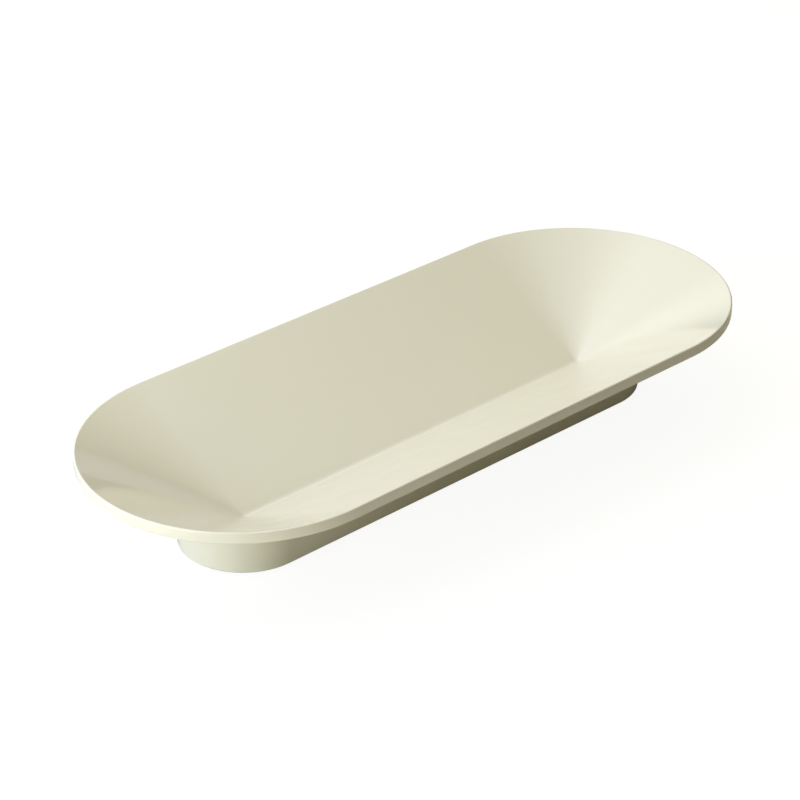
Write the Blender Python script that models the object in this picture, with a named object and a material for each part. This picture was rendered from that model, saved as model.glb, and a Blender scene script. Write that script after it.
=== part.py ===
"""Long serving bowl: a pressed sheet dish with a V-shaped trough, on a stadium foot with six pads.

Metres, +Z up. The origin is on the table under the middle of the bowl, and the bowl is long in X.
Every outline seen from above is a stadium: all points at one distance from the spine, the straight
line under the crease. So a section is drawn once, as distance from the spine and height, and is then
swept round the spine.
"""

import math

import bmesh
import bpy
from mathutils import Matrix, Vector

# Dish
LENGTH = 0.520  # rim, end to end
WIDTH = 0.2145  # rim, side to side
DEPTH = 0.0542  # rim's top down to the bottom of the trough
TROUGH_HEIGHT = 0.017  # bottom of the trough above the table
DISH_SHEET = 0.0015
CREASE_RADIUS = 0.005  # inside bend along the crease
RIM_RADIUS = 0.0018  # outside bend at the rim's top
RIM_BAND = 0.0078  # height of the turned-down band round the rim

# Foot
FOOT_WIDTH = 0.089  # side to side at the skirt's lower corner
FOOT_SHEET = 0.0015
FOOT_DRAFT = math.radians(3.0)  # lean of the skirt, wider at the top
FOOT_BEND = 0.0018  # outside bends at the skirt's two corners
SEAT_WIDTH = 0.010  # flange that lies along the dish's underside

# Pads
PAD_DIAMETER = 0.009
PAD_HEIGHT = 0.001
PAD_EDGE = 0.0002  # rounding of a pad's rims
PAD_MARGIN = 0.0015  # lip left bare on each side of a pad
PAD_TURN = math.radians(45)  # how far round its half-round end each end pad lies

# Gap left in each bonded joint
BOND_GAP = 0.0003

# Facets
END_STEPS = 32  # round each half-round end
BEND_STEPS = 6  # round each bend of a sheet, even so that the crease gets a middle point
EDGE_STEPS = 4  # round the free edge of a sheet
PAD_STEPS = 24
PAD_EDGE_STEPS = 2
MERGE_DISTANCE = 1e-6
SHARP_ANGLE = math.radians(35)

# Colours, linear
CREAM_DISH = (0.80, 0.77, 0.62)
CREAM_FOOT = (0.78, 0.75, 0.60)
PAD_GREY = (0.42, 0.42, 0.40)

# What follows from these sizes
SPINE_HALF = (LENGTH - WIDTH) / 2
RIM_HALF = WIDTH / 2
RIM_TOP = TROUGH_HEIGHT + DEPTH
LIP_HEIGHT = PAD_HEIGHT + BOND_GAP
LIP_WIDTH = FOOT_BEND + PAD_DIAMETER + 2 * PAD_MARGIN
PAD_FROM_SPINE = FOOT_WIDTH / 2 - FOOT_BEND - PAD_MARGIN - PAD_DIAMETER / 2

# The trough's wall is the line that touches the crease's bend from below and the rim's bend from above
BENDS_APART = Vector((RIM_HALF - RIM_RADIUS, DEPTH - RIM_RADIUS - CREASE_RADIUS))
BENDS_TILT = math.atan2(BENDS_APART.y, BENDS_APART.x)
WALL_ANGLE = BENDS_TILT + math.asin((CREASE_RADIUS + RIM_RADIUS) / BENDS_APART.length)
CREASE_CORNER = TROUGH_HEIGHT + CREASE_RADIUS - CREASE_RADIUS / math.cos(WALL_ANGLE)
RIM_CORNER = CREASE_CORNER + RIM_HALF * math.tan(WALL_ANGLE)


def clear_scene():
    for old in list(bpy.data.objects):
        bpy.data.objects.remove(old, do_unlink=True)


def make_material(name, colour, roughness, metallic):
    material = bpy.data.materials.new(name)
    material.use_nodes = True
    shader = material.node_tree.nodes["Principled BSDF"]
    shader.inputs["Base Color"].default_value = (*colour, 1.0)
    shader.inputs["Roughness"].default_value = roughness
    shader.inputs["Metallic"].default_value = metallic
    return material


def right_normal(start, end):
    """Unit normal on the right-hand side of a line that runs from start to end."""
    along = (end - start).normalized()
    return Vector((along.y, -along.x))


def offset_corners(corners, distance):
    """The same bent line moved to its right-hand side by distance, with its corners mitred."""
    normals = [right_normal(a, b) for a, b in zip(corners, corners[1:])]
    moved = [corners[0] + normals[0] * distance]
    for corner, before, after in zip(corners[1:-1], normals, normals[1:]):
        mitre = (before + after).normalized()
        moved.append(corner + mitre * (distance / mitre.dot(before)))
    moved.append(corners[-1] + normals[-1] * distance)
    return moved


def arc(centre, start, sweep, steps):
    """Points that turn from start about centre through sweep, anticlockwise where it is positive."""
    arm = start - centre
    return [centre + Matrix.Rotation(sweep * i / steps, 2) @ arm for i in range(steps + 1)]


def bend(before, corner, after, radius):
    """The arc of a radius that rounds a corner between two straight runs."""
    to_before = (before - corner).normalized()
    to_after = (after - corner).normalized()
    half_angle = to_before.angle(to_after) / 2
    start = corner + to_before * (radius / math.tan(half_angle))
    centre = corner + (to_before + to_after).normalized() * (radius / math.sin(half_angle))
    turn = math.pi - 2 * half_angle
    left_turn = (corner - before).cross(after - corner) > 0
    return arc(centre, start, turn if left_turn else -turn, BEND_STEPS)


def round_corners(corners, radii):
    """A bent line with each inner corner rounded to its radius."""
    points = [corners[0]]
    for before, corner, after, radius in zip(corners, corners[1:], corners[2:], radii):
        points += bend(before, corner, after, radius)
    return points + [corners[-1]]


def round_edge(start, end):
    """The half circle round a sheet's free edge, clockwise between its two faces, without their points."""
    return arc((start + end) / 2, start, -math.pi, EDGE_STEPS)[1:-1]


def dish_section():
    """Open section of the dish: from the spine up its face, over the rim and back to the spine below."""
    corners = [
        Vector((-RIM_HALF, RIM_CORNER)),
        Vector((0.0, CREASE_CORNER)),
        Vector((RIM_HALF, RIM_CORNER)),
        Vector((RIM_HALF, RIM_TOP - RIM_BAND + DISH_SHEET / 2)),
    ]
    face = round_corners(corners, [CREASE_RADIUS, RIM_RADIUS])
    back_radii = [CREASE_RADIUS + DISH_SHEET, RIM_RADIUS - DISH_SHEET]
    back = round_corners(offset_corners(corners, DISH_SHEET), back_radii)
    middle_of_crease = 1 + BEND_STEPS // 2
    face, back = face[middle_of_crease:], back[middle_of_crease:]
    face[0].x = back[0].x = 0.0
    return face + round_edge(face[-1], back[-1]) + back[::-1]


def skirt_section():
    """Closed section of the foot: a flange along the dish, the skirt, and a lip that turns in under it."""
    wall = Vector((math.cos(WALL_ANGLE), math.sin(WALL_ANGLE)))
    seat_at_spine = CREASE_CORNER - (DISH_SHEET + BOND_GAP) / wall.x
    slope, lean = math.tan(WALL_ANGLE), math.tan(FOOT_DRAFT)
    foot_half = FOOT_WIDTH / 2
    top_half = (foot_half + (seat_at_spine - LIP_HEIGHT) * lean) / (1 - slope * lean)
    top = Vector((top_half, seat_at_spine + top_half * slope))
    corners = [
        top - wall * (SEAT_WIDTH - FOOT_SHEET / 2),
        top,
        Vector((foot_half, LIP_HEIGHT)),
        Vector((foot_half - LIP_WIDTH + FOOT_SHEET / 2, LIP_HEIGHT)),
    ]
    outside = round_corners(corners, [FOOT_BEND, FOOT_BEND])
    inside = round_corners(offset_corners(corners, FOOT_SHEET), [FOOT_BEND - FOOT_SHEET] * 2)
    lip_edge = round_edge(outside[-1], inside[-1])
    seat_edge = round_edge(inside[0], outside[0])
    return outside + lip_edge + inside[::-1] + seat_edge


def finish_object(name, bm):
    mesh = bpy.data.meshes.new(name)
    bm.to_mesh(mesh)
    bm.free()
    mesh.shade_smooth()
    mesh.set_sharp_from_angle(angle=SHARP_ANGLE)
    return bpy.data.objects.new(name, mesh)


def sweep_round_spine(name, section, closed):
    """A solid whose section is carried round the spine: half a turn at each end, straight runs between."""
    bm = bmesh.new()
    right_end = Vector((SPINE_HALF, 0.0, 0.0))
    points = [bm.verts.new((SPINE_HALF, -point.x, point.y)) for point in section]
    ends = points[1:] + points[:1] if closed else points[1:]
    run = [bm.edges.new(pair) for pair in zip(points, ends)]
    for end in (right_end, -right_end):
        turned = bmesh.ops.spin(bm, geom=run, cent=end, axis=(0, 0, 1), angle=math.pi, steps=END_STEPS)
        run = [item for item in turned["geom_last"] if isinstance(item, bmesh.types.BMEdge)]
        drawn = bmesh.ops.extrude_edge_only(bm, edges=run)["geom"]
        moved = {item for item in drawn if isinstance(item, bmesh.types.BMVert)}
        bmesh.ops.translate(bm, verts=list(moved), vec=-2 * end)
        run = [item for item in drawn if isinstance(item, bmesh.types.BMEdge) and moved.issuperset(item.verts)]
    bmesh.ops.remove_doubles(bm, verts=bm.verts, dist=MERGE_DISTANCE)
    bmesh.ops.recalc_face_normals(bm, faces=bm.faces)
    return finish_object(name, bm)


def make_dish():
    return sweep_round_spine("dish", dish_section(), closed=False)


def make_skirt():
    return sweep_round_spine("foot_skirt", skirt_section(), closed=True)


def make_pad(name, x, y):
    """A disc that stands on the table, with the bond's gap between it and the lip."""
    bm = bmesh.new()
    bmesh.ops.create_cone(
        bm,
        cap_ends=True,
        segments=PAD_STEPS,
        radius1=PAD_DIAMETER / 2,
        radius2=PAD_DIAMETER / 2,
        depth=PAD_HEIGHT,
        matrix=Matrix.Translation((0.0, 0.0, PAD_HEIGHT / 2)),
    )
    rims = [edge for edge in bm.edges if abs(edge.verts[0].co.z - edge.verts[1].co.z) < PAD_HEIGHT / 2]
    bmesh.ops.bevel(
        bm, geom=rims, offset=PAD_EDGE, segments=PAD_EDGE_STEPS, profile=0.5, affect="EDGES"
    )
    pad = finish_object(name, bm)
    pad.location = (x, y, 0.0)
    return pad


def make_pads():
    """Three pads under each side of the lip: one in the middle and one part of the way round each end."""
    end_x = SPINE_HALF + PAD_FROM_SPINE * math.sin(PAD_TURN)
    end_y = PAD_FROM_SPINE * math.cos(PAD_TURN)
    sides = {"front": -1, "back": 1}
    stations = {"left": (-end_x, end_y), "middle": (0.0, PAD_FROM_SPINE), "right": (end_x, end_y)}
    return [
        make_pad(f"pad_{side}_{station}", x, across * y)
        for side, across in sides.items()
        for station, (x, y) in stations.items()
    ]


def main():
    clear_scene()
    bowl = bpy.data.collections.new("serving_bowl")
    bpy.context.scene.collection.children.link(bowl)
    dressed = [
        ([make_dish()], make_material("cream_lacquer_dish", CREAM_DISH, 0.30, 0.0)),
        ([make_skirt()], make_material("cream_lacquer_foot", CREAM_FOOT, 0.32, 0.0)),
        (make_pads(), make_material("grey_silicone_pad", PAD_GREY, 0.60, 0.0)),
    ]
    for pieces, material in dressed:
        for piece in pieces:
            piece.data.materials.append(material)
            bowl.objects.link(piece)


if __name__ == "__main__":
    main()
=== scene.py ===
"""Looks of the long serving bowl: lacquered dish, lacquered foot and six silicone pads, on a pale stage.

The file is laid out as an add-on and run as a script. Metres, +Z up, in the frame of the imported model.
Seen from above every outline is a stadium round the spine, the straight line under the crease. So the dish
and the foot are each a section drawn once, as distance from the spine and height, and carried round it.
"""

import math

import bpy
from bpy.props import FloatProperty, FloatVectorProperty, PointerProperty
from mathutils import Matrix, Vector


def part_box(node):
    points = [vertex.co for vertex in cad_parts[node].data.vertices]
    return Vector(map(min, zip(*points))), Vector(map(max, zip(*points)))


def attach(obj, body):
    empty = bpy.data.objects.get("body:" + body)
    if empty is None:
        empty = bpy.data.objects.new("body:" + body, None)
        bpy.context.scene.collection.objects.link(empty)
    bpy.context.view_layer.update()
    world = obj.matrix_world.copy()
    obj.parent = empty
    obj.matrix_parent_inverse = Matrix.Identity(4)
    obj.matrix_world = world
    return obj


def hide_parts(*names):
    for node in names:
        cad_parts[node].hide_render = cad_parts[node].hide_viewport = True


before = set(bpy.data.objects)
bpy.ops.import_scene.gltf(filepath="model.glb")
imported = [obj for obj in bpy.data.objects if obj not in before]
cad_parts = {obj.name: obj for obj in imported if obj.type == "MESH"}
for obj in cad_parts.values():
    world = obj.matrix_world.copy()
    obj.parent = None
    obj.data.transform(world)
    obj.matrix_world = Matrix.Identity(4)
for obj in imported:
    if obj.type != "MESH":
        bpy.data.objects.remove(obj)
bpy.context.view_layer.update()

bl_info = {
    "name": "Serving Bowl",
    "version": (1, 0, 0),
    "blender": (4, 5, 0),
    "location": "View3D > Sidebar > Serving Bowl",
    "description": "Models and finishes a long lacquered serving bowl round its packed solids",
    "category": "Object",
}

DISH_LOW, DISH_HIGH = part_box("dish")
SKIRT_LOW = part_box("foot_skirt")[0]
PAD_NODES = sorted(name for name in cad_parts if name.startswith("pad_"))
PAD_LOW, PAD_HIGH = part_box(PAD_NODES[0])

# Facets
END_STEPS = 128  # round each half-round end
BEND_STEPS = 14  # round each bend of a sheet
EDGE_STEPS = 8  # round the free edge of a sheet
PAD_STEPS = 64
PAD_EDGE_STEPS = 4
MERGE_DISTANCE = 1e-5
SMOOTH_ANGLE = math.radians(40)
HOLD = 0.0006  # from a bend to the line that keeps the sheet flat beside it
LEVEL = 0.99  # least upward or downward part of a level face's normal


def linear(hex_colour):
    """Linear RGB of an sRGB colour written as six hex digits."""
    channels = [int(hex_colour[i : i + 2], 16) / 255 for i in (0, 2, 4)]
    return tuple(c / 12.92 if c <= 0.04045 else ((c + 0.055) / 1.055) ** 2.4 for c in channels)


def length_property(name, description, default):
    return FloatProperty(
        name=name, description=description, default=default, min=0.0, unit="LENGTH", precision=5
    )


def angle_property(name, description, degrees):
    return FloatProperty(
        name=name, description=description, default=math.radians(degrees), subtype="ANGLE"
    )


def colour_property(name, description, hex_colour):
    return FloatVectorProperty(
        name=name, description=description, default=linear(hex_colour), min=0.0, max=1.0, subtype="COLOR"
    )


class DishSettings(bpy.types.PropertyGroup):
    """Sizes of the pressed dish."""

    length: length_property("Length", "Rim, end to end", DISH_HIGH.x - DISH_LOW.x)
    width: length_property("Width", "Rim, side to side", DISH_HIGH.y - DISH_LOW.y)
    rim_top: length_property("Rim top", "Top of the rim above the table", DISH_HIGH.z)
    sheet: length_property("Sheet", "Thickness of the dish's sheet", 0.0015)
    underside: length_property("Underside", "Lowest line of the dish above the table", DISH_LOW.z)
    crease_radius: length_property("Crease radius", "Inside bend along the crease", 0.005)
    rim_radius: length_property("Rim radius", "Outside bend at the rim's top", 0.0010)
    rim_band: length_property("Rim band", "Height of the turned-down band", 0.0078)


class FootSettings(bpy.types.PropertyGroup):
    """Sizes of the foot's skirt."""

    width: length_property("Width", "Side to side at the skirt's lower corner", 0.089)
    lip_height: length_property("Lip height", "Underside of the turned-in lip above the table", SKIRT_LOW.z)
    lip_width: length_property("Lip width", "Width of the turned-in lip", 0.0138)
    seat_width: length_property("Seat width", "Flange that lies along the dish's underside", 0.010)
    sheet: length_property("Sheet", "Thickness of the foot's sheet", 0.0015)
    bend: length_property("Bend", "Outside bends at the skirt's two corners", 0.0018)
    bond: length_property("Bond", "Film between the flange and the dish", 0.00005)
    draft: angle_property("Draft", "Lean of the skirt, wider at the top", 3)


class PadSettings(bpy.types.PropertyGroup):
    """Sizes of a silicone pad."""

    diameter: length_property("Diameter", "Across a pad", PAD_HIGH.x - PAD_LOW.x)
    height: length_property("Height", "Thickness of a pad", PAD_HIGH.z - PAD_LOW.z)
    edge: length_property("Edge", "Rounding of a pad's rims", 0.0002)
    ring: length_property("Ring", "Width of the flat ring that stands on the table", 0.0016)
    dimple_slope: length_property("Dimple slope", "From the ring to the dimple's flat bottom", 0.0005)
    dimple_depth: length_property("Dimple depth", "Depth of the dimple underneath", 0.00015)
    film_margin: length_property("Film margin", "Pad left bare round its adhesive film", 0.0004)


class FinishSettings(bpy.types.PropertyGroup):
    """Colours of the finishes."""

    dish_cream: colour_property("Dish cream", "Lacquer on the dish", "EBE8D6")
    foot_cream: colour_property("Foot cream", "Lacquer on the foot", "EBE8D6")
    pad_grey: colour_property("Pad grey", "Silicone of the pads", "ADADAA")


class StageSettings(bpy.types.PropertyGroup):
    """The floor and the camera's place."""

    floor: colour_property("Floor", "Acrylic floor that the camera sees", "FCFCFB")
    card: colour_property("Card", "Card under the floor that bounces light up to the bowl", "D7D4C9")
    room: colour_property("Room", "Dim studio all round", "FFF5D0")
    room_light: FloatProperty(
        name="Room light", description="Brightness of the studio all round", default=0.07
    )
    aim: FloatVectorProperty(
        name="Aim",
        description="Point that the camera looks at",
        default=(0.0034, 0.0226, 0.0334),
        unit="LENGTH",
    )
    azimuth: angle_property("Azimuth", "Camera's turn round the bowl", -42.551)
    elevation: angle_property("Elevation", "Camera's angle above the table", 29.476)
    distance: length_property("Distance", "From the aim to the camera", 1.811)
    lens: FloatProperty(name="Lens", description="Focal length in millimetres", default=119.68)


class BowlSettings(bpy.types.PropertyGroup):
    """Everything that can be set on the bowl and its stage."""

    dish: PointerProperty(type=DishSettings)
    foot: PointerProperty(type=FootSettings)
    pad: PointerProperty(type=PadSettings)
    finish: PointerProperty(type=FinishSettings)
    stage: PointerProperty(type=StageSettings)


# Modelling


def spine_half(dish):
    return (dish.length - dish.width) / 2


def wall_slope(dish):
    """Slope of the trough's wall, which touches the crease's bend from below and the rim's from above."""
    across = dish.width / 2 - dish.rim_radius
    up = dish.rim_top - dish.underside - dish.sheet - dish.rim_radius - dish.crease_radius
    both_radii = dish.crease_radius + dish.rim_radius
    return math.atan2(up, across) + math.asin(both_radii / math.hypot(across, up))


class SectionPen:
    """Draws a section in edit mode, on the front side, as distance from the spine and height."""

    def __init__(self, name, x, start):
        bpy.ops.object.select_all(action="DESELECT")
        bpy.ops.mesh.primitive_plane_add(size=HOLD, location=(0.0, 0.0, 0.0))
        self.piece = bpy.context.object
        self.piece.name = self.piece.data.name = name
        self.x = x
        self.at = Vector(start)
        bpy.ops.object.mode_set(mode="EDIT")
        bpy.ops.mesh.merge(type="CENTER")
        bpy.ops.transform.translate(value=self.place(self.at))

    def place(self, point):
        return (self.x, -point.x, point.y)

    def draw(self, end):
        """A straight run from the pen to a point."""
        moved = Vector((0.0, self.at.x - end.x, end.y - self.at.y))
        bpy.ops.mesh.extrude_region_move(TRANSFORM_OT_translate={"value": moved})
        self.at = Vector(end)

    def draw_flat(self, end):
        """A straight run with a line close to each end, which keep it flat up to its bends."""
        along = (end - self.at).normalized() * HOLD
        for point in (self.at + along, end - along, end):
            self.draw(point)

    def turn(self, centre, angle, steps=BEND_STEPS):
        """An arc from the pen about a centre, anticlockwise where the angle is positive."""
        bpy.ops.mesh.spin(steps=steps, angle=angle, center=self.place(centre), axis=(1.0, 0.0, 0.0))
        self.at = centre + Matrix.Rotation(angle, 2) @ (self.at - centre)


def carry_round_spine(half):
    """Carries the drawn section along each side of the spine and half a turn round each end."""
    bpy.ops.mesh.select_all(action="SELECT")
    bpy.ops.mesh.remove_doubles(threshold=MERGE_DISTANCE)
    for end in (half, -half):
        bpy.ops.mesh.extrude_region_move(TRANSFORM_OT_translate={"value": (2 * end, 0.0, 0.0)})
        bpy.ops.mesh.spin(steps=END_STEPS, angle=-math.pi, center=(end, 0.0, 0.0), axis=(0.0, 0.0, 1.0))
    bpy.ops.mesh.select_all(action="SELECT")
    bpy.ops.mesh.remove_doubles(threshold=MERGE_DISTANCE)
    bpy.ops.mesh.normals_make_consistent(inside=False)
    bpy.ops.object.mode_set(mode="OBJECT")


def select_level_faces(piece, height):
    """Enters edit mode with only the faces that lie level at a height selected."""
    bpy.ops.object.mode_set(mode="EDIT")
    bpy.ops.mesh.select_mode(type="FACE")
    bpy.ops.mesh.select_all(action="DESELECT")
    bpy.ops.object.mode_set(mode="OBJECT")
    for face in piece.data.polygons:
        face.select = abs(face.normal.z) > LEVEL and abs(face.center.z - height) < MERGE_DISTANCE
    bpy.ops.object.mode_set(mode="EDIT")


def dress(piece, node, material):
    """Shades a finished piece and sets it on the frame in place of a node."""
    bpy.ops.object.select_all(action="DESELECT")
    piece.select_set(True)
    bpy.context.view_layer.objects.active = piece
    bpy.ops.object.shade_smooth_by_angle(angle=SMOOTH_ANGLE)
    piece.data.materials.clear()
    piece.data.materials.append(material)
    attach(piece, "root")
    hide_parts(node)


# Finishes

PEEL_SIZE = 0.002  # from crest to crest of the lacquer's orange peel
PEEL_DEPTH = 0.000004
WAVE_LENGTH = 0.04  # from crest to crest of the pressed sheet's waves
WAVE_DEPTH = 0.0003
MOTTLE_SIZE = 0.09  # across a patch of thicker or thinner lacquer
MOTTLE_SHADE = 0.985
GLOSS_RANGE = (0.05, 0.08)  # roughness
LACQUER_IOR = 1.5
GRAIN_SIZE = 0.0003  # across a grain of the silicone's mould
GRAIN_DEPTH = 0.00001
GRAIN_SHADE = 0.9
MATT_RANGE = (0.5, 0.7)  # roughness
SILICONE_IOR = 1.41
SILICONE_SHEEN = 0.1
FIBRE_SIZE = 0.003  # across a fibre fleck of the card
FIBRE_SHADE = 0.98
CARD_ROUGHNESS = 0.9
ACRYLIC_GLOW = 0.95
ACRYLIC_SHADOW = 0.12  # share of the acrylic's colour that takes light and shadow from above


def add_node(owner, kind, settings=None, links=None):
    """Adds a node with its settings to a material or a light, and links outputs to its inputs."""
    node = owner.node_tree.nodes.new(kind)
    for name, value in (settings or {}).items():
        if name in node.inputs:
            node.inputs[name].default_value = value
        else:
            setattr(node, name, value)
    for name, output in (links or {}).items():
        owner.node_tree.links.new(output, node.inputs[name])
    return node


def add_noise(owner, size, detail, place):
    """Adds noise whose patches are about a size across, and gives its value."""
    settings = {"Scale": 1 / size, "Detail": detail}
    return add_node(owner, "ShaderNodeTexNoise", settings, {"Vector": place}).outputs["Fac"]


def add_shades(owner, colour, shade, value):
    """Adds a mix of a colour and its darker shade, and gives the mixed colour."""
    shades = {"Color1": (*colour, 1.0), "Color2": (*[c * shade for c in colour], 1.0)}
    return add_node(owner, "ShaderNodeMixRGB", shades, {"Fac": value}).outputs["Color"]


def add_range(owner, limits, value):
    """Adds a map of a value from 0 to 1 onto a range, and gives the mapped value."""
    settings = {"To Min": limits[0], "To Max": limits[1]}
    return add_node(owner, "ShaderNodeMapRange", settings, {"Value": value}).outputs["Result"]


def new_material(name):
    """An empty material with its output node."""
    material = bpy.data.materials.new(name)
    material.use_nodes = True
    material.node_tree.nodes.clear()
    return material, add_node(material, "ShaderNodeOutputMaterial")


def sprayed_lacquer(name, colour):
    """Glossy cream lacquer sprayed over pressed steel.

    The spray dries to a fine orange peel that softens reflections a little. The pressed sheet under it
    isn't dead flat, so long low waves bend the mirror image of the trough where the lacquer is seen at a
    low angle. The film's thickness varies, which shifts its cream by a shade and its gloss by a few
    hundredths.
    """
    material, output = new_material(name)
    place = add_node(material, "ShaderNodeTexCoord").outputs["Object"]
    mottle = add_noise(material, MOTTLE_SIZE, 2.0, place)
    peel = add_noise(material, PEEL_SIZE, 1.0, place)
    wave = add_noise(material, WAVE_LENGTH, 1.5, place)
    peeled = add_node(material, "ShaderNodeBump", {"Distance": PEEL_DEPTH}, {"Height": peel})
    waved = add_node(
        material,
        "ShaderNodeBump",
        {"Distance": WAVE_DEPTH},
        {"Height": wave, "Normal": peeled.outputs["Normal"]},
    )
    shader = add_node(
        material,
        "ShaderNodeBsdfPrincipled",
        {"IOR": LACQUER_IOR},
        {
            "Base Color": add_shades(material, colour, MOTTLE_SHADE, mottle),
            "Roughness": add_range(material, GLOSS_RANGE, mottle),
            "Normal": waved.outputs["Normal"],
        },
    )
    material.node_tree.links.new(shader.outputs["BSDF"], output.inputs["Surface"])
    return material


def moulded_silicone(name, colour):
    """Grey silicone rubber from a sand-blasted mould, so it is matt, with a fine grain and a soft sheen."""
    material, output = new_material(name)
    place = add_node(material, "ShaderNodeTexCoord").outputs["Object"]
    grain = add_noise(material, GRAIN_SIZE, 3.0, place)
    grained = add_node(material, "ShaderNodeBump", {"Distance": GRAIN_DEPTH}, {"Height": grain})
    shader = add_node(
        material,
        "ShaderNodeBsdfPrincipled",
        {"IOR": SILICONE_IOR, "Sheen Weight": SILICONE_SHEEN},
        {
            "Base Color": add_shades(material, colour, GRAIN_SHADE, grain),
            "Roughness": add_range(material, MATT_RANGE, grain),
            "Normal": grained.outputs["Normal"],
        },
    )
    material.node_tree.links.new(shader.outputs["BSDF"], output.inputs["Surface"])
    return material


def studio_card(name, colour):
    """Uncoated grey-white card, matt, with a faint mottle of its fibres."""
    material, output = new_material(name)
    place = add_node(material, "ShaderNodeTexCoord").outputs["Object"]
    fibre = add_noise(material, FIBRE_SIZE, 2.0, place)
    pulp = add_shades(material, colour, FIBRE_SHADE, fibre)
    shader = add_node(
        material, "ShaderNodeBsdfPrincipled", {"Roughness": CARD_ROUGHNESS}, {"Base Color": pulp}
    )
    material.node_tree.links.new(shader.outputs["BSDF"], output.inputs["Surface"])
    return material


def backlit_acrylic(name, colour):
    """White acrylic lit from below, so it glows evenly and takes only a faint shadow."""
    material, output = new_material(name)
    shader = add_node(
        material,
        "ShaderNodeBsdfPrincipled",
        {
            "Base Color": (*[c * ACRYLIC_SHADOW for c in colour], 1.0),
            "Emission Color": (*colour, 1.0),
            "Emission Strength": ACRYLIC_GLOW,
            "Roughness": 1.0,
            "Specular IOR Level": 0.0,
        },
    )
    material.node_tree.links.new(shader.outputs["BSDF"], output.inputs["Surface"])
    return material


# Operators


class SERVING_BOWL_OT_dish(bpy.types.Operator):
    """Draw the dish's section and carry it round the spine"""

    bl_idname = "serving_bowl.dish"
    bl_label = "Model Dish"

    def execute(self, context):
        settings = context.scene.serving_bowl
        dish = settings.dish
        half, sheet, slope = dish.width / 2, dish.sheet, wall_slope(dish)
        trough = dish.underside + sheet
        crease_bend = Vector((0.0, trough + dish.crease_radius))
        rim_bend = Vector((half - dish.rim_radius, dish.rim_top - dish.rim_radius))
        edge_bend = Vector((half - sheet / 2, dish.rim_top - dish.rim_band + sheet / 2))
        up_wall = Vector((-math.sin(slope), math.cos(slope)))
        under_crease = crease_bend - up_wall * (dish.crease_radius + sheet)
        rise = (half - sheet - under_crease.x) * math.tan(slope)
        under_rim = Vector((half - sheet, under_crease.y + rise))

        pen = SectionPen("lacquered_dish", -spine_half(dish), (0.0, trough))
        pen.turn(crease_bend, slope)
        pen.draw_flat(rim_bend + up_wall * dish.rim_radius)
        pen.turn(rim_bend, -math.pi / 2 - slope)
        pen.draw_flat(edge_bend + Vector((sheet / 2, 0.0)))
        pen.turn(edge_bend, -math.pi, EDGE_STEPS)
        pen.draw_flat(under_rim)
        pen.draw_flat(under_crease)
        pen.turn(crease_bend, -slope)
        carry_round_spine(spine_half(dish))
        lacquer = sprayed_lacquer("cream_lacquer_dish", settings.finish.dish_cream)
        dress(pen.piece, "dish", lacquer)
        return {"FINISHED"}


class SERVING_BOWL_OT_foot_skirt(bpy.types.Operator):
    """Draw the foot's section, from its seat flange down to its lip, and carry it round the spine"""

    bl_idname = "serving_bowl.foot_skirt"
    bl_label = "Model Foot Skirt"

    def execute(self, context):
        settings = context.scene.serving_bowl
        dish, foot = settings.dish, settings.foot
        slope, sheet, inner = wall_slope(dish), foot.sheet, foot.bend - foot.sheet
        along_seat = Vector((math.cos(slope), math.sin(slope)))
        out_of_seat = Vector((-along_seat.y, along_seat.x))
        out_of_skirt = Vector((math.cos(foot.draft), -math.sin(foot.draft)))

        crease_bend = Vector((0.0, dish.underside + dish.sheet + dish.crease_radius))
        seat_line = crease_bend - out_of_seat * (dish.crease_radius + dish.sheet + foot.bond)
        lip_corner = Vector((foot.width / 2, foot.lip_height))
        lean = math.tan(foot.draft)
        rise = seat_line.y + (lip_corner.x - seat_line.x) * math.tan(slope) - lip_corner.y
        seat_corner = lip_corner + Vector((lean, 1.0)) * (rise / (1 - lean * math.tan(slope)))

        seat_turn = math.pi / 2 + slope - foot.draft
        lip_turn = math.pi / 2 + foot.draft
        seat_reach = foot.bend * math.tan(seat_turn / 2)
        lip_reach = foot.bend * math.tan(lip_turn / 2)
        seat_bend = seat_corner - along_seat * seat_reach - out_of_seat * foot.bend
        lip_bend = lip_corner + Vector((-lip_reach, foot.bend))
        seat_edge = seat_corner - along_seat * (foot.seat_width - sheet / 2) - out_of_seat * sheet / 2
        lip_edge = lip_corner + Vector((sheet / 2 - foot.lip_width, sheet / 2))

        pen = SectionPen("lacquered_foot_skirt", -spine_half(dish), seat_edge + out_of_seat * sheet / 2)
        pen.draw_flat(seat_bend + out_of_seat * foot.bend)
        pen.turn(seat_bend, -seat_turn)
        pen.draw_flat(lip_bend + out_of_skirt * foot.bend)
        pen.turn(lip_bend, -lip_turn)
        pen.draw_flat(lip_edge - Vector((0.0, sheet / 2)))
        pen.turn(lip_edge, -math.pi, EDGE_STEPS)
        pen.draw_flat(lip_bend - Vector((0.0, inner)))
        pen.turn(lip_bend, lip_turn)
        pen.draw_flat(seat_bend + out_of_skirt * inner)
        pen.turn(seat_bend, seat_turn)
        pen.draw_flat(seat_edge - out_of_seat * sheet / 2)
        pen.turn(seat_edge, -math.pi, EDGE_STEPS)
        carry_round_spine(spine_half(dish))
        lacquer = sprayed_lacquer("cream_lacquer_foot", settings.finish.foot_cream)
        dress(pen.piece, "foot_skirt", lacquer)
        return {"FINISHED"}


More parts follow.
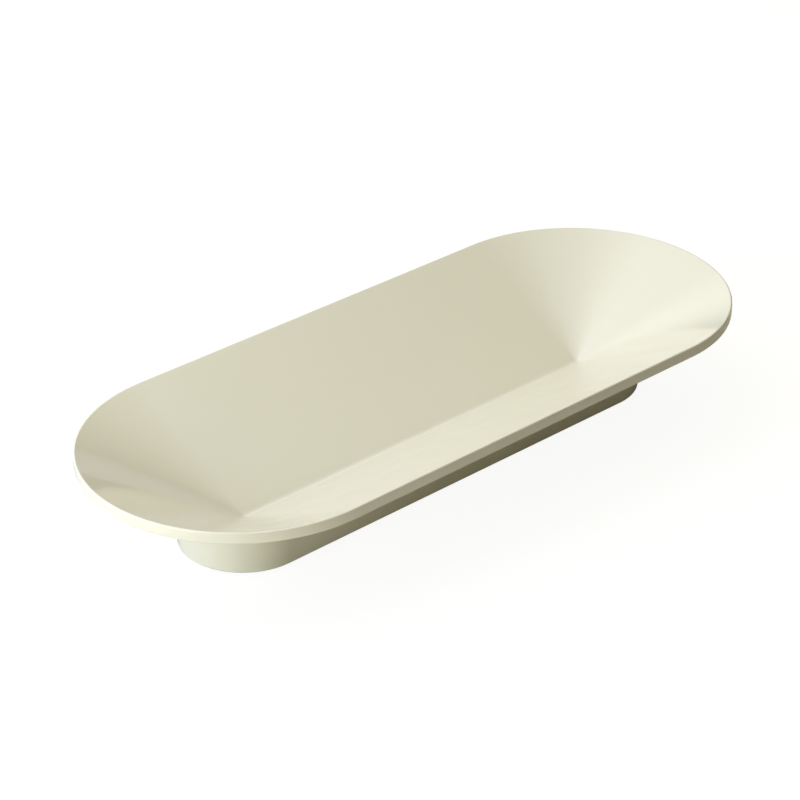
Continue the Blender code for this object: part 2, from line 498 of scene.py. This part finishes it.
class SERVING_BOWL_OT_pads(bpy.types.Operator):
    """Model one silicone pad with its adhesive film, and set a copy in each pad's place"""

    bl_idname = "serving_bowl.pads"
    bl_label = "Model Pads"

    def execute(self, context):
        settings = context.scene.serving_bowl
        pad, lip = settings.pad, settings.foot.lip_height
        material = moulded_silicone("grey_silicone", settings.finish.pad_grey)
        bpy.ops.object.select_all(action="DESELECT")
        bpy.ops.mesh.primitive_cylinder_add(
            vertices=PAD_STEPS,
            radius=pad.diameter / 2,
            depth=pad.height,
            location=(0.0, 0.0, pad.height / 2),
        )
        model = context.object
        bpy.ops.object.transform_apply(location=True)
        select_level_faces(model, 0.0)
        bpy.ops.mesh.inset(thickness=pad.ring)
        bpy.ops.mesh.inset(thickness=pad.dimple_slope)
        bpy.ops.transform.translate(value=(0.0, 0.0, pad.dimple_depth))
        select_level_faces(model, pad.height)
        bpy.ops.mesh.inset(thickness=pad.film_margin)
        bpy.ops.mesh.extrude_region_move(TRANSFORM_OT_translate={"value": (0.0, 0.0, lip - pad.height)})
        bpy.ops.object.mode_set(mode="OBJECT")
        rounding = model.modifiers.new("rounded rims", "BEVEL")
        rounding.width = pad.edge / 2
        rounding.segments = PAD_EDGE_STEPS
        bpy.ops.object.modifier_apply(modifier=rounding.name)

        for node in PAD_NODES:
            low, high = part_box(node)
            piece = model.copy()
            piece.data = model.data.copy()
            piece.name = piece.data.name = "silicone_" + node
            context.collection.objects.link(piece)
            piece.data.transform(Matrix.Translation(((low.x + high.x) / 2, (low.y + high.y) / 2, low.z)))
            dress(piece, node, material)
        bpy.data.objects.remove(model, do_unlink=True)
        return {"FINISHED"}


# Stage

FLOOR_SIZE = 16.0
FLOOR_DROP = 0.0001  # of the floor and then of the card below the pads, so that no faces coincide
COOL_LAMP = "D4E4FF"
NEUTRAL_LAMP = "FFFAF5"
WARM_LAMP = "FFF5D0"
PANELS = (
    # name, azimuth and elevation in degrees, distance, width, height, fade, watts, tint
    ("key_left", 262, 25, 1.5, 2.6, 1.1, 1.0, 65, COOL_LAMP),
    ("front_left", 290, 9, 0.75, 0.6, 0.3, 1.0, 4, WARM_LAMP),
    ("top_back", 190, 62, 2.0, 3.0, 2.2, 1.0, 45, NEUTRAL_LAMP),
    ("back_low", 172, 24, 2.4, 5.0, 2.6, 1.0, 60, NEUTRAL_LAMP),
    ("back_left", 225, 44, 2.0, 2.2, 1.8, 1.0, 50, COOL_LAMP),
    ("overhead", 0, 90, 2.0, 3.0, 3.0, 1.0, 40, WARM_LAMP),
    ("right_high", 105, 53, 2.2, 3.2, 2.8, 1.0, 30, WARM_LAMP),
    ("right_board", 117, 16.5, 2.0, 1.6, 0.6, 0.3, 1.5, COOL_LAMP),
)


def direction(azimuth, elevation):
    """Unit vector from the bowl to a place round it, where azimuth 0 is in front of it."""
    flat = math.cos(elevation)
    return Vector((math.sin(azimuth) * flat, -math.cos(azimuth) * flat, math.sin(elevation)))


def add_panel(name, azimuth, elevation, distance, width, height, fade, watts, colour):
    """Adds an oval diffuser panel that faces the bowl and fades out over the outer share of its radius."""
    towards = direction(math.radians(azimuth), math.radians(elevation))
    bpy.ops.object.light_add(
        type="AREA", location=towards * distance, rotation=towards.to_track_quat("Z", "Y").to_euler()
    )
    panel = bpy.context.object.data
    bpy.context.object.name = panel.name = name
    panel.shape = "RECTANGLE"
    panel.size, panel.size_y = width, height
    panel.energy, panel.color = watts, linear(colour)
    panel.use_nodes = True
    panel.node_tree.nodes.clear()
    across = add_node(panel, "ShaderNodeTexCoord").outputs["UV"]
    centred = add_node(
        panel,
        "ShaderNodeMapping",
        {"Location": (-1.0, -1.0, 0.0), "Scale": (2.0, 2.0, 1.0)},
        {"Vector": across},
    )
    cone = add_node(
        panel,
        "ShaderNodeTexGradient",
        {"gradient_type": "SPHERICAL"},
        {"Vector": centred.outputs["Vector"]},
    )
    soft = add_node(
        panel,
        "ShaderNodeMapRange",
        {"interpolation_type": "SMOOTHSTEP", "From Max": fade},
        {"Value": cone.outputs["Fac"]},
    )
    glow = add_node(panel, "ShaderNodeEmission", links={"Strength": soft.outputs["Result"]})
    add_node(panel, "ShaderNodeOutputLight", links={"Surface": glow.outputs["Emission"]})


def add_ground(name, drop, material):
    bpy.ops.object.select_all(action="DESELECT")
    bpy.ops.mesh.primitive_plane_add(size=FLOOR_SIZE, location=(0.0, 0.0, -drop))
    ground = bpy.context.object
    ground.name = ground.data.name = name
    ground.data.materials.append(material)
    return ground


class SERVING_BOWL_OT_stage(bpy.types.Operator):
    """Set the floor, the lights and the camera"""

    bl_idname = "serving_bowl.stage"
    bl_label = "Set Stage"

    def execute(self, context):
        stage = context.scene.serving_bowl.stage
        # The camera sees an evenly bright floor, and only the card under it lights the bowl from below
        floor = add_ground("floor", FLOOR_DROP, backlit_acrylic("backlit_acrylic", stage.floor))
        floor.visible_diffuse = floor.visible_glossy = False
        floor.visible_transmission = floor.visible_shadow = False
        card = add_ground("bounce_card", 2 * FLOOR_DROP, studio_card("studio_card", stage.card))
        card.visible_camera = False
        for panel in PANELS:
            add_panel(*panel)

        world = bpy.data.worlds.new("dim_studio")
        world.use_nodes = True
        background = world.node_tree.nodes["Background"].inputs
        background["Color"].default_value = (*stage.room, 1.0)
        background["Strength"].default_value = stage.room_light
        context.scene.world = world

        towards = direction(stage.azimuth, stage.elevation)
        bpy.ops.object.camera_add(
            location=Vector(stage.aim) + towards * stage.distance,
            rotation=towards.to_track_quat("Z", "Y").to_euler(),
        )
        context.object.data.lens = stage.lens
        context.scene.camera = context.object
        context.scene.view_settings.view_transform = "Standard"
        return {"FINISHED"}


class SERVING_BOWL_PT_panel(bpy.types.Panel):
    """Lists the bowl's operators and settings"""

    bl_idname = "SERVING_BOWL_PT_panel"
    bl_label = "Serving Bowl"
    bl_space_type = "VIEW_3D"
    bl_region_type = "UI"
    bl_category = "Serving Bowl"

    def draw(self, context):
        settings = context.scene.serving_bowl
        for operator, group in STEPS:
            box = self.layout.box()
            box.operator(operator.bl_idname)
            for name in getattr(settings, group).bl_rna.properties.keys():
                if name not in ("rna_type", "name"):
                    box.prop(getattr(settings, group), name)


STEPS = (
    (SERVING_BOWL_OT_dish, "dish"),
    (SERVING_BOWL_OT_foot_skirt, "foot"),
    (SERVING_BOWL_OT_pads, "pad"),
    (SERVING_BOWL_OT_stage, "stage"),
)
CLASSES = (
    DishSettings,
    FootSettings,
    PadSettings,
    FinishSettings,
    StageSettings,
    BowlSettings,
    SERVING_BOWL_OT_dish,
    SERVING_BOWL_OT_foot_skirt,
    SERVING_BOWL_OT_pads,
    SERVING_BOWL_OT_stage,
    SERVING_BOWL_PT_panel,
)


def register():
    for cls in CLASSES:
        bpy.utils.register_class(cls)
    bpy.types.Scene.serving_bowl = PointerProperty(type=BowlSettings)


def unregister():
    del bpy.types.Scene.serving_bowl
    for cls in reversed(CLASSES):
        bpy.utils.unregister_class(cls)


def main():
    register()
    bpy.ops.serving_bowl.dish()
    bpy.ops.serving_bowl.foot_skirt()
    bpy.ops.serving_bowl.pads()
    bpy.ops.serving_bowl.stage()


if __name__ == "__main__":
    main()
